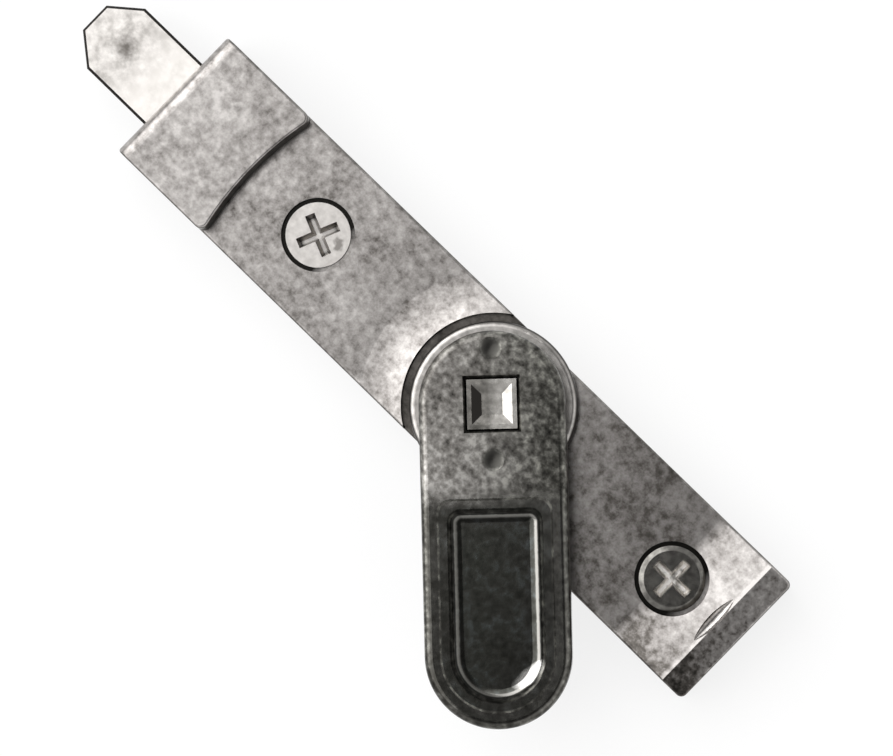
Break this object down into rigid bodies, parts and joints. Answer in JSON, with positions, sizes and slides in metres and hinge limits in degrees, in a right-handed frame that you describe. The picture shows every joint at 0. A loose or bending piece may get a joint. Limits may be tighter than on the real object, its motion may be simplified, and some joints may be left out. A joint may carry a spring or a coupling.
{
  "type": "window shootbolt",
  "caption": "Surface bolt for a window: a cast housing with a lever that turns a pinion and slides a flat steel tongue out of its nose.",
  "frame": {"origin": "on the lever's axis, midway between the two fixing screws, at the back face", "axes": "+X along the bolt towards its tip, +Z away from the surface that it is screwed to"},
  "size_m": [0.1099, 0.04, 0.019],
  "materials": {
    "pewter_zinc": "zinc die casting, antique pewter plating",
    "lever_zinc": "zinc die casting, dark antique pewter plating",
    "bolt_steel": "bright drawn steel",
    "spindle_steel": "turned steel, punched end",
    "collar_steel": "turned steel",
    "spring_steel": "blued spring steel",
    "plated_sheet": "zinc plated sheet steel",
    "rivet_steel": "zinc plated steel",
    "bright_screw": "nickel plated steel",
    "dark_screw": "dark nickel plated steel",
    "bush_brass": "turned brass"
  },
  "bodies": {
    "base": {"housing": "pewter_zinc", "pivot_bush": "bush_brass", "back_plate": "plated_sheet", "plate_rivets": "rivet_steel", "fixing_screw_front": "bright_screw", "fixing_screw_rear": "dark_screw", "spring_washer": "spring_steel"},
    "handle": {"lever": "lever_zinc", "hub_collar": "collar_steel", "pinion_spindle": "spindle_steel"},
    "bolt": {"bolt": "bolt_steel"}
  },
  "joints": [
    {"name": "lever_turn", "type": "hinge", "parent": "base", "child": "handle", "pos_m": [0, 0, 0], "axis": [0, 0, 1], "range_deg": [-135.7, 44.3]},
    {"name": "bolt_slide", "type": "slide", "parent": "base", "child": "bolt", "axis": [1, 0, 0], "range_m": [-0.01185, 0.00387]}
  ],
  "couplings": [
    {"joint": "bolt_slide", "follows": "lever_turn", "m_per_rad": 0.005}
  ]
}
